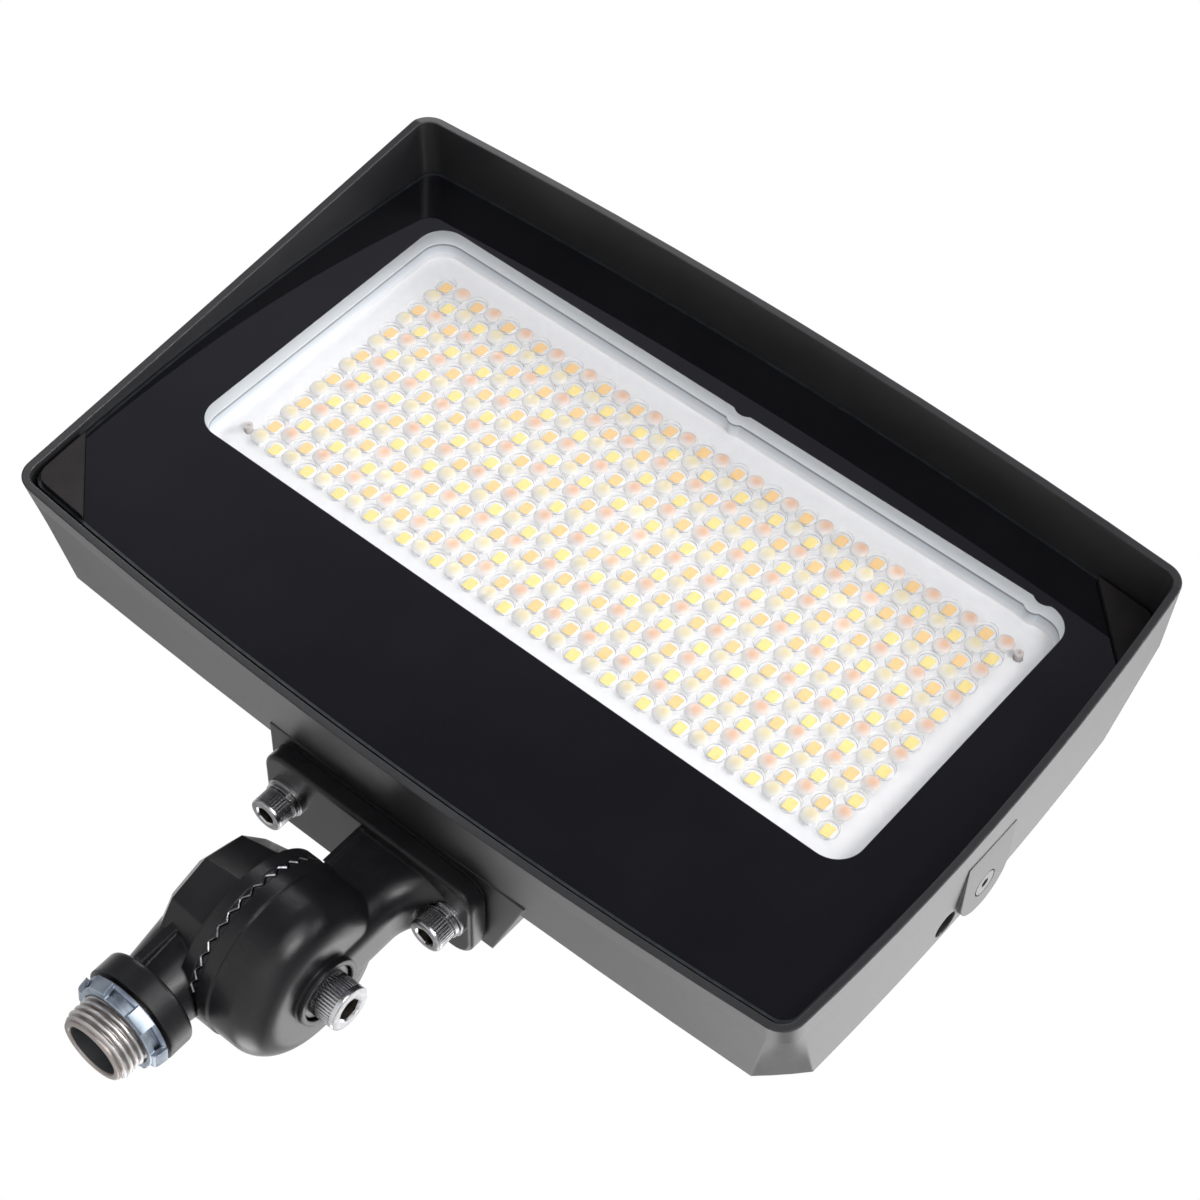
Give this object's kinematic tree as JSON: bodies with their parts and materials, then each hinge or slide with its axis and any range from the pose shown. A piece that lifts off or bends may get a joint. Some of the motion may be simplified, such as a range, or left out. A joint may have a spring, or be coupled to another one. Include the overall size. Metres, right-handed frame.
{
  "type": "led flood light",
  "caption": "Black flood light with a visored housing, glass front over rows of LEDs, and a tilting knuckle on a threaded nipple with a locknut.",
  "frame": {"origin": "on the axis of the threaded nipple, in the plane of the collar's shoulder, where the nipple leaves the knuckle", "axes": "+Z along the nipple's axis, up through the lamp head; the glass looks along -Y; X runs across the window, along the tilt axis"},
  "size_m": [0.2648, 0.088, 0.2599],
  "materials": {
    "black_coat": "matte",
    "satin_coat": "satin",
    "black_clamp": "matte",
    "clear_glass": "polished",
    "black_print": "gloss",
    "black_rubber": "matte",
    "sealant": "satin",
    "white_plastic": "satin",
    "white_board": "matte",
    "led_cool": "satin",
    "led_warm": "satin",
    "clear_plastic": "gloss",
    "driver_case": "matte",
    "lead_sleeve": "satin",
    "black_plastic": "matte",
    "bright_steel": "polished",
    "grey_steel": "satin",
    "zinc": "satin"
  },
  "bodies": {
    "base": {"knuckle_base": "satin_coat", "nipple": "grey_steel", "knuckle_bolt": "bright_steel", "bolt_washer": "bright_steel", "knuckle_nut": "bright_steel"},
    "head": {"housing": "black_coat", "front_glass": "clear_glass", "glass_frit": "black_print", "glass_gasket": "black_rubber", "glass_sealant": "sealant", "corner_clamp_left": "black_clamp", "corner_clamp_right": "black_clamp", "reflector_tray": "white_plastic", "led_board": "white_board", "leds_cool": "led_cool", "leds_warm": "led_warm", "lens_sheet": "clear_plastic", "lens_screws": "bright_steel", "led_driver": "driver_case", "driver_screws": "bright_steel", "board_leads": "lead_sleeve", "rear_cover": "black_coat", "rear_cover_gasket": "black_rubber", "rear_cover_screws": "bright_steel", "breather_vent": "black_plastic", "side_screws": "bright_steel", "mount_gasket": "black_rubber", "bracket": "satin_coat", "flat_washers": "bright_steel", "spring_washers": "bright_steel", "bracket_screws": "bright_steel"},
    "locknut": {"locknut": "zinc"}
  },
  "joints": [
    {"name": "tilt", "type": "hinge", "parent": "base", "child": "head", "pos_m": [0.0098, 0, 0.0363], "axis": [1, 0, 0], "range_deg": [-90, 90]},
    {"name": "locknut_spin", "type": "hinge", "parent": "base", "child": "locknut", "pos_m": [0, 0, 0], "axis": [0, 0, 1], "continuous": true}
  ]
}
